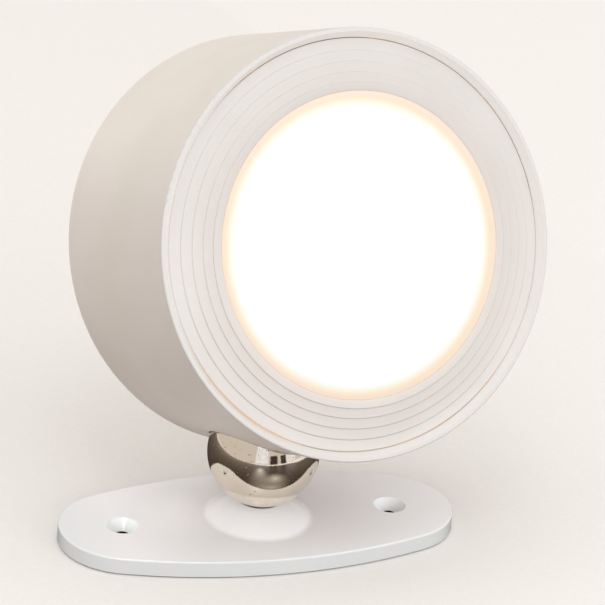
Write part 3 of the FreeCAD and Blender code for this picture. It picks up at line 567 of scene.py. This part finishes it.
housing_finish, tree = moulded("warm white ABS, moulded matt", "#EEE7E1", "#E9E2DB", 0.44)
radius, height, turn = about_head(tree)
front = add(tree, "ShaderNodeMapRange", inputs={"Value": height, "From Min": -1.75 * mm,
                                                "From Max": -1.65 * mm})
slope = add(tree, "ShaderNodeMapRange", inputs={"Value": radius, "From Min": 46.40 * mm,
                                                "From Max": 46.55 * mm, "To Min": 1.0, "To Max": 0.0})
lip = add(tree, "ShaderNodeMath", {"operation": "MULTIPLY"}, {0: front.outputs[0], 1: slope.outputs[0]})
# Painted light: the slope glows, most at the left and top and least at the lower left.
painted_glow = add(tree, "ShaderNodeValToRGB", inputs={"Fac": turn}, stops=(
    (0.0, "#7A7A78"), (0.08, "#5A5958"), (0.125, "#181818"), (0.25, "#303030"), (0.375, "#4A4948"),
    (0.5, "#595857"), (0.625, "#656462"), (0.75, "#777572"), (0.875, "#646260"), (1.0, "#7A7A78")))
near_seam = add(tree, "ShaderNodeMapRange", inputs={"Value": radius, "From Min": 45.45 * mm,
                                                    "From Max": 46.05 * mm, "To Min": 1.0,
                                                    "To Max": 0.0})
# Painted light: an orange tint on the slope at the lower left, by the seam.
orange = add(tree, "ShaderNodeValToRGB", inputs={"Fac": turn}, stops=(
    (0.0, "#FFFFFF"), (0.11, "#FFFFFF"), (0.15, "#FFE9D2"), (0.18, "#FFDFC0"), (0.21, "#FFE9D2"),
    (0.24, "#FFFFFF"), (1.0, "#FFFFFF")))
painted_leak_light = add(tree, "ShaderNodeMath", {"operation": "MULTIPLY"},
           {0: lip.outputs[0], 1: near_seam.outputs[0]})
# Painted shade: the side is a little darker round most of its turn than at the bottom, and darker
# towards the front.
shade_by_turn = add(tree, "ShaderNodeValToRGB", inputs={"Fac": turn}, stops=(
    (0.0, "#F7F7F7"), (0.055, "#FBFBFB"), (0.10, "#FEFEFE"), (0.16, "#FFFFFF"), (0.25, "#FFFFFF"),
    (0.35, "#F6F6F6"), (0.90, "#F9F9F8"), (0.945, "#FBFBFA"), (1.0, "#F7F7F7")))
near = add(tree, "ShaderNodeMapRange", inputs={"Value": height, "From Min": -32.0 * mm,
                                               "From Max": -6.0 * mm})
round_wall = add(tree, "ShaderNodeMapRange", inputs={"Value": height, "From Min": -53.0 * mm,
                                                     "From Max": -49.0 * mm})
side = add(tree, "ShaderNodeMixRGB", {"blend_type": "MULTIPLY"},
           {0: round_wall.outputs[0], 1: tree.nodes["colour"].outputs[0], 2: shade_by_turn.outputs[0]})
side = add(tree, "ShaderNodeMixRGB", {"blend_type": "MULTIPLY"},
           {0: near.outputs[0], 1: side.outputs[0], 2: linear("#FBFBFB")})
# Painted shade: the front face and slope are greyer than the side of the same plastic.
face = add(tree, "ShaderNodeMapRange", inputs={"Value": height, "From Min": -0.90 * mm,
                                               "From Max": -0.35 * mm})
front = add(tree, "ShaderNodeMath", {"operation": "MAXIMUM"}, {0: lip.outputs[0], 1: face.outputs[0]})
shaded_colour = add(tree, "ShaderNodeMixRGB", inputs={0: front.outputs[0], 1: side.outputs[0],
                                             2: linear("#D9D7D5")})
tint = add(tree, "ShaderNodeMixRGB", {"blend_type": "MULTIPLY"},
           {0: painted_leak_light.outputs[0], 1: shaded_colour.outputs[0], 2: orange.outputs[0]})
tree.links.new(tint.outputs[0], tree.nodes["body"].inputs["Base Color"])
tree.links.new(painted_glow.outputs[0], tree.nodes["body"].inputs["Emission Color"])
tree.links.new(lip.outputs[0], tree.nodes["body"].inputs["Emission Strength"])
dress("housing", housing_finish)

# ---- Bezel
# A stepped ring of white ABS, snapped into the head's mouth by five hooks: four terraces that
# rise to the diffuser.  A thin shoulder, a little below its edge, shows in the seam in painted
# light and shade: dark brown over the top, pale at the sides, and an orange glow at the lower
# left, where the ring sits off centre.  Painted shade lines the feet of the risers round the
# lower half and darkens the ring towards the diffuser and at the top.
def turned(name, section, sides):
    """Closed ring or disc: a circle drawn along the section by extrude and resize."""
    bpy.ops.object.select_all(action="DESELECT")
    radius, height = section[0]
    bpy.ops.mesh.primitive_circle_add(vertices=sides, radius=radius, location=(0, 0, height))
    piece = bpy.context.active_object
    piece.name = name
    bpy.ops.object.transform_apply(location=True, rotation=False, scale=False)
    bpy.ops.object.mode_set(mode="EDIT")
    bpy.ops.mesh.select_all(action="SELECT")
    for next_radius, next_height in section[1:] + section[:1]:
        bpy.ops.mesh.extrude_edges_move(TRANSFORM_OT_translate={"value": (0, 0, next_height - height)})
        bpy.ops.transform.resize(value=(next_radius / radius, next_radius / radius, 1.0),
                                 center_override=(0, 0, 0))
        radius, height = next_radius, next_height
    bpy.ops.mesh.select_all(action="SELECT")
    bpy.ops.mesh.remove_doubles(threshold=0.000001)
    bpy.ops.mesh.normals_make_consistent(inside=False)
    bpy.ops.object.mode_set(mode="OBJECT")
    return piece


def seat_in_head(piece):
    """Moves a piece built about the head's axis, face up, to its place in the head."""
    bpy.ops.object.select_all(action="DESELECT")
    piece.select_set(True)
    bpy.context.view_layer.objects.active = piece
    piece.matrix_world = head_place
    bpy.ops.object.transform_apply(location=True, rotation=True, scale=True)


BEZEL_OUT = 45.11 * mm
SHOULDER_R = 45.33 * mm
SHOULDER = -1.80 * mm
RING_TOP = 0.60 * mm
RING_LEDGE = -0.80 * mm
RING_BACK = -2.00 * mm
CUP_R = 36.50 * mm
MOUTH = 33.72 * mm
RISERS = (35.64, 37.81, 40.15, 42.55)
RISER_MIDDLES = (0.47, 0.05, -0.50, -1.12)
RISER_LEAN = 0.05
RISER_HALF = 0.13
EDGE_R = 0.07 * mm
HAIR = 0.01 * mm
OFF_CENTRE = (0.020 * mm, 0.040 * mm)
HOOK_R = 42.9 * mm
HOOK_SIZE = (2.0 * mm, 7.0 * mm, 1.2 * mm)
HOOK_FOOT = -12.1 * mm
TONGUE_L = 9.9 * mm
TONGUE_THICK = 0.6
TONGUE_AT = (43.9 * mm, 0, -11.5 * mm)
section = [(SHOULDER_R, RING_BACK), (SHOULDER_R, SHOULDER), (BEZEL_OUT, SHOULDER),
           (BEZEL_OUT, -1.61 * mm)]
for radius, middle in zip(reversed(RISERS), reversed(RISER_MIDDLES)):
    section += [((radius + RISER_LEAN) * mm, (middle - RISER_HALF) * mm),
                ((radius - RISER_LEAN) * mm, (middle + RISER_HALF) * mm)]
section += [(MOUTH, RING_TOP), (MOUTH, RING_LEDGE), (CUP_R, RING_LEDGE), (CUP_R, RING_BACK)]
bezel = turned("stepped_bezel", section, 256)
bpy.ops.object.mode_set(mode="EDIT")
bpy.ops.mesh.select_all(action="DESELECT")
bpy.ops.object.mode_set(mode="OBJECT")
for edge in bezel.data.edges:
    a, b = (bezel.data.vertices[i].co for i in edge.vertices)
    level = abs(a.z - b.z) < HAIR and abs(a.xy.length - b.xy.length) < HAIR
    edge.select = level and a.z > -1.7 * mm
for vertex in bezel.data.vertices:
    if 45.1 * mm < vertex.co.xy.length < 45.3 * mm and vertex.co.z > -1.9 * mm:
        vertex.co.x, vertex.co.y = vertex.co.x + OFF_CENTRE[0], vertex.co.y + OFF_CENTRE[1]
bpy.ops.object.mode_set(mode="EDIT")
bpy.ops.mesh.select_mode(type="EDGE")
bpy.ops.mesh.bevel(offset=EDGE_R, segments=3, affect="EDGES")
bpy.ops.object.mode_set(mode="OBJECT")
hooks = []
for angle in (0, 90, 180, 225, 315):
    bpy.ops.object.select_all(action="DESELECT")
    bpy.ops.mesh.primitive_cube_add(size=1.0, location=(HOOK_R, 0, HOOK_FOOT), scale=HOOK_SIZE)
    bpy.ops.object.transform_apply(location=True, rotation=True, scale=True)
    hook = bpy.context.active_object
    bpy.ops.object.mode_set(mode="EDIT")
    bpy.ops.mesh.select_all(action="DESELECT")
    bpy.ops.object.mode_set(mode="OBJECT")
    for face in hook.data.polygons:
        face.select = face.normal.z > 0.9
    bpy.ops.object.mode_set(mode="EDIT")
    bpy.ops.mesh.select_mode(type="FACE")
    bpy.ops.mesh.extrude_region_move(TRANSFORM_OT_translate={"value": (0, 0, 0)})
    bpy.ops.transform.resize(value=(TONGUE_THICK, 1.0, 1.0), center_override=TONGUE_AT)
    bpy.ops.mesh.extrude_region_move(TRANSFORM_OT_translate={"value": (0, 0, TONGUE_L)})
    bpy.ops.object.mode_set(mode="OBJECT")
    hook.rotation_euler[2] = math.radians(angle)
    bpy.ops.object.transform_apply(location=False, rotation=True, scale=False)
    hooks.append(hook)
bpy.ops.object.select_all(action="DESELECT")
for piece in hooks + [bezel]:
    piece.select_set(True)
bpy.context.view_layer.objects.active = bezel
bpy.ops.object.join()
seat_in_head(bezel)
bpy.ops.object.shade_smooth_by_angle(angle=math.radians(50))
bezel_finish, tree = moulded("white ABS, moulded fine", "#E2DFDE", "#DEDBD9", 0.40)
radius, height, turn = about_head(tree)
outside = add(tree, "ShaderNodeMath", {"operation": "GREATER_THAN"}, {0: radius, 1: 45.09 * mm})
below = add(tree, "ShaderNodeMath", {"operation": "LESS_THAN"}, {0: height, 1: -1.78 * mm})
seam = add(tree, "ShaderNodeMath", {"operation": "MULTIPLY"},
           {0: outside.outputs[0], 1: below.outputs[0]})
SPAN_IN = 33.0
SPAN_OUT = 45.0
span = add(tree, "ShaderNodeMapRange", inputs={"Value": radius, "From Min": SPAN_IN * mm,
                                               "From Max": SPAN_OUT * mm})
# Painted shade: dark lines at the feet of the risers, round the lower half of the turn.
steps = []
for middle, how in zip(RISERS, ("#8C8C8C", "#B4B4B4", "#D8D8D8", "#FFFFFF")):
    where = (middle - SPAN_IN) / (SPAN_OUT - SPAN_IN)
    steps += [(where - 0.011, "#000000"), (where - 0.004, how), (where + 0.010, how),
              (where + 0.019, "#000000")]
foot = add(tree, "ShaderNodeValToRGB", inputs={"Fac": span.outputs[0]}, stops=steps)
low = add(tree, "ShaderNodeValToRGB", inputs={"Fac": turn}, stops=(
    (0.0, "#000000"), (0.06, "#5A5A5A"), (0.11, "#B0B0B0"), (0.17, "#CCCCCC"), (0.25, "#DCDCDC"),
    (0.33, "#FFFFFF"), (0.40, "#FFFFFF"), (0.45, "#E8E8E8"), (0.5, "#DCDCDC"), (0.56, "#909090"),
    (0.61, "#000000"), (1.0, "#000000")))
painted_shade_mask = add(tree, "ShaderNodeMath", {"operation": "MULTIPLY"}, {0: foot.outputs[0], 1: low.outputs[0]})
# Painted shade: the ring is darker towards the diffuser, and a little darker at the top than at the
# bottom.
inner = add(tree, "ShaderNodeMapRange", inputs={"Value": radius, "From Min": 34.6 * mm,
                                                "From Max": 43.0 * mm, "To Min": 1.0, "To Max": 0.0})
shade_by_turn = add(tree, "ShaderNodeValToRGB", inputs={"Fac": turn}, stops=(
    (0.0, "#F8F8F8"), (0.07, "#FDFDFD"), (0.17, "#FFFFFF"), (0.42, "#FFFFFF"), (0.5, "#FCFCFC"),
    (0.58, "#F8F8F8"), (0.67, "#F5F5F5"), (0.92, "#F5F5F5"), (1.0, "#F8F8F8")))
even = add(tree, "ShaderNodeMixRGB", {"blend_type": "MULTIPLY"},
           {0: 1.0, 1: tree.nodes["colour"].outputs[0], 2: shade_by_turn.outputs[0]})
inner_shade = add(tree, "ShaderNodeMixRGB", {"blend_type": "MULTIPLY"},
           {0: inner.outputs[0], 1: even.outputs[0], 2: linear("#F7F5F2")})
riser_shade = add(tree, "ShaderNodeMixRGB", {"blend_type": "MULTIPLY"},
           {0: painted_shade_mask.outputs[0], 1: inner_shade.outputs[0], 2: linear("#E4E2DE")})
# Painted shade and light in the seam: a dark brown base, with emitted colours by turn, pale at the
# sides, brown over the top, orange at the lower left.
dark = add(tree, "ShaderNodeMixRGB", inputs={0: seam.outputs[0], 1: riser_shade.outputs[0],
                                             2: linear("#2A1F18")})
painted_leak_light = add(tree, "ShaderNodeValToRGB", inputs={"Fac": turn}, stops=(
    (0.0, "#E2DCD7"), (0.085, "#E2DCD7"), (0.12, "#DCC6B2"), (0.165, "#DDBC9A"), (0.190, "#DDBC9A"),
    (0.225, "#D8BFA4"), (0.240, "#B4AA9A"), (0.305, "#B4AA9A"), (0.325, "#D6B08C"), (0.365, "#C0A280"),
    (0.395, "#B4A48E"), (0.417, "#D6B490"), (0.440, "#DAD2C8"), (0.540, "#D2C6B6"), (0.583, "#9C8570"),
    (0.655, "#9A8470"), (0.661, "#CFA27A"), (0.667, "#9A8470"), (0.763, "#98816C"), (0.769, "#C99C74"),
    (0.775, "#8E7966"), (0.806, "#7A6C5E"), (0.870, "#98826C"), (0.876, "#C59D78"), (0.885, "#9C8570"),
    (0.925, "#E2DCD7"), (1.0, "#E2DCD7")))
tree.links.new(dark.outputs[0], tree.nodes["body"].inputs["Base Color"])
tree.links.new(painted_leak_light.outputs[0], tree.nodes["body"].inputs["Emission Color"])
tree.links.new(seam.outputs[0], tree.nodes["body"].inputs["Emission Strength"])
bezel.data.materials.append(bezel_finish)
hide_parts("bezel_ring")
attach(bezel, "head")

# ---- Diffuser
# A disc of opal acrylic, moulded, lit from behind: white hot in the middle, and warmer and
# weaker in a band along its edge, where the light box's wall shades it.
DISC_R = 33.70 * mm
DISC_TOP = 0.62 * mm
LEDGE_R = 36.40 * mm
LEDGE = -0.90 * mm
DISC_BACK = -2.00 * mm
PINHOLE_R = 0.02 * mm
GLOW_SHIFT = (0.42 * mm, 0.38 * mm, 0)
section = [(PINHOLE_R, DISC_TOP), (DISC_R - 0.10 * mm, DISC_TOP), (DISC_R - 0.03 * mm, 0.59 * mm),
           (DISC_R, 0.52 * mm), (DISC_R, LEDGE), (LEDGE_R, LEDGE), (LEDGE_R, DISC_BACK),
           (PINHOLE_R, DISC_BACK)]
disc = turned("opal_disc", section, 192)
seat_in_head(disc)
bpy.ops.object.shade_smooth_by_angle(angle=math.radians(35))
opal, tree = finish_material("opal acrylic, lit")
radius = about_head(tree, GLOW_SHIFT)[0]
band = add(tree, "ShaderNodeMapRange", inputs={"Value": radius, "From Min": 29.0 * mm,
                                               "From Max": 34.0 * mm})
glow = add(tree, "ShaderNodeValToRGB", inputs={"Fac": band.outputs[0]}, stops=(
    (0.0, "#FFFFFD"), (0.10, "#E8E8E6"), (0.30, "#BFC0BE"), (0.43, "#B0B4A7"), (0.53, "#B0AA96"),
    (0.63, "#AE9D7C"), (0.72, "#AE916B"), (0.80, "#AE8F6F"), (0.90, "#AE9072"), (1.0, "#A48E78")))
lit = add(tree, "ShaderNodeBsdfPrincipled", inputs={"Base Color": linear("#BAB6B0"), "Roughness": 0.3,
                                                    "IOR": 1.49, "Emission Color": glow.outputs[0],
                                                    "Emission Strength": 1.0})
add(tree, "ShaderNodeOutputMaterial", inputs={"Surface": lit.outputs[0]})
disc.data.materials.append(opal)
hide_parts("diffuser")
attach(disc, "head")

# ---- Light box behind the diffuser
# A bright white polypropylene tray, an aluminium-backed board with white solder mask, and its
# surface-mounted LEDs with yellow phosphor.
dress("light_frame", moulded("white polypropylene, moulded", "#F2F2F0", "#EDEDEB", 0.5)[0])
dress("led_board", moulded("white solder mask", "#F4F3EF", "#EFEEE9", 0.3, 0.0008)[0])
dress("leds", moulded("yellow phosphor, potted", "#F2D84A", "#E9C832", 0.25, 0.0003)[0])

# ---- Power and control inside the head
# A round lithium cell in a heat-shrunk sleeve on a nylon cradle, nickel strips, a green board
# with black chips, the steel charging socket, the copper touch foil and PVC leads.
dress("battery_cell", moulded("blue PVC sleeve, heat shrunk", "#2F6FA8", "#28608F", 0.32, 0.0020,
                              0.00004)[0])
dress("battery_cradle", moulded("natural nylon, moulded", "#D9D6CC", "#D0CCC1", 0.5)[0])
dress("magnet_retainer", moulded("natural nylon, moulded strap", "#D9D6CC", "#D0CCC1", 0.5)[0])
dress("battery_tabs", plated("nickel strip, rolled", "#CFCAC0", "#B9B3A8", 0.25, 0.0005))
dress("charging_socket", plated("stainless steel, drawn", "#C8C6C2", "#B0AEAA", 0.3, 0.0005))
dress("socket_tongue", moulded("black nylon, moulded", "#232326", "#1B1B1D", 0.5)[0])
dress("control_board", moulded("green solder mask", "#1F6B41", "#195A36", 0.3, 0.0009)[0])
dress("board_components", moulded("black epoxy, moulded", "#222225", "#1A1A1C", 0.55, 0.0002)[0])
dress("touch_foil", plated("copper foil, rolled", "#D98F62", "#B87046", 0.3, 0.0007))
dress("battery_leads", moulded("red PVC, extruded", "#B3312B", "#9E2823", 0.4)[0])
dress("led_leads", moulded("grey PVC, extruded", "#8E8E90", "#808083", 0.4)[0])

low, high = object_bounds()
